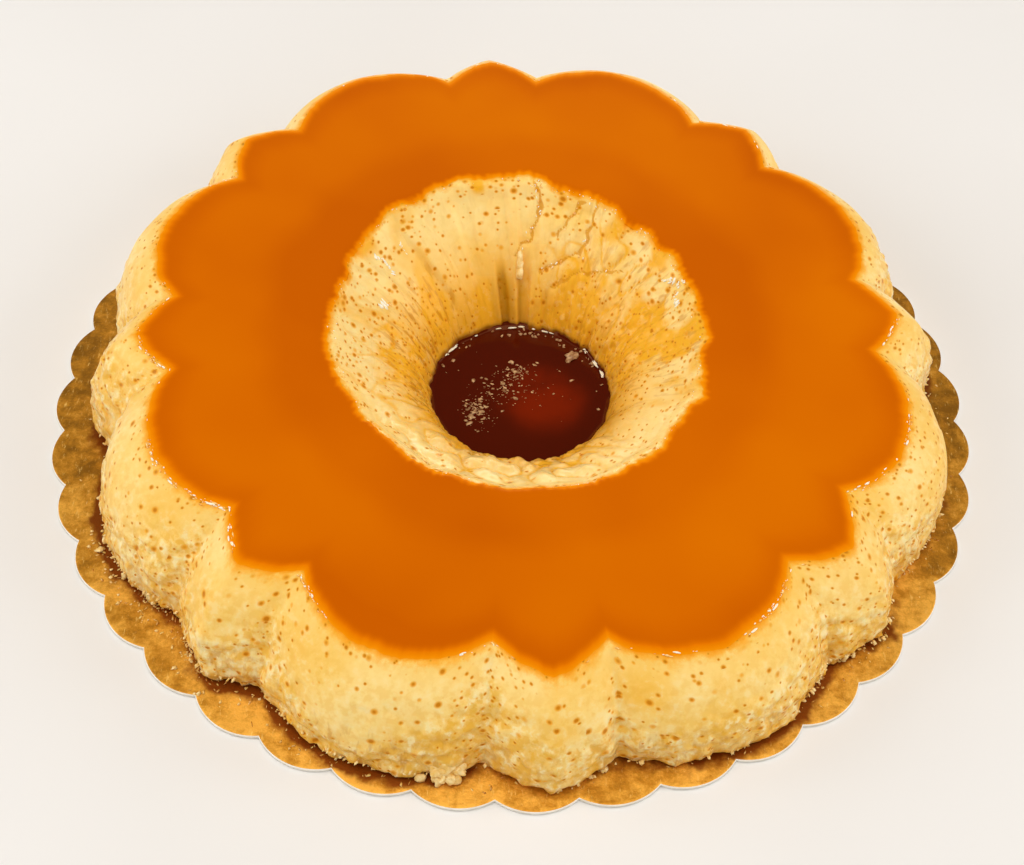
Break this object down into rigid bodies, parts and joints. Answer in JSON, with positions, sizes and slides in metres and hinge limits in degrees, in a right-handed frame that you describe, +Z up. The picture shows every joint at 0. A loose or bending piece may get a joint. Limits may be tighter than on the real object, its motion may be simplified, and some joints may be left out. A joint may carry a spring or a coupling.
{
  "type": "leche flan",
  "caption": "Ring-shaped leche flan with fluted sides and a glossy caramel top, caramel pooled in its hole, on a scalloped gold cake board.",
  "frame": {"origin": "centre of the cake board's underside", "axes": "+Z up; -Y towards the side where the ring is lowest; +X to the right seen from there"},
  "size_m": [0.2992, 0.2992, 0.047],
  "materials": {
    "custard": "moist baked custard: smooth cream skin with brown bubble pits, curdled and crumbly at the foot, its flat top soaked with amber caramel",
    "caramel": "clear liquid caramel, dark red-brown and glossy",
    "gold_card": "card faced with crinkled gold foil, pale cut edge"
  },
  "bodies": {
    "root": {"custard_ring": "custard", "caramel_pool": "caramel", "cake_board": "gold_card"}
  },
  "joints": []
}
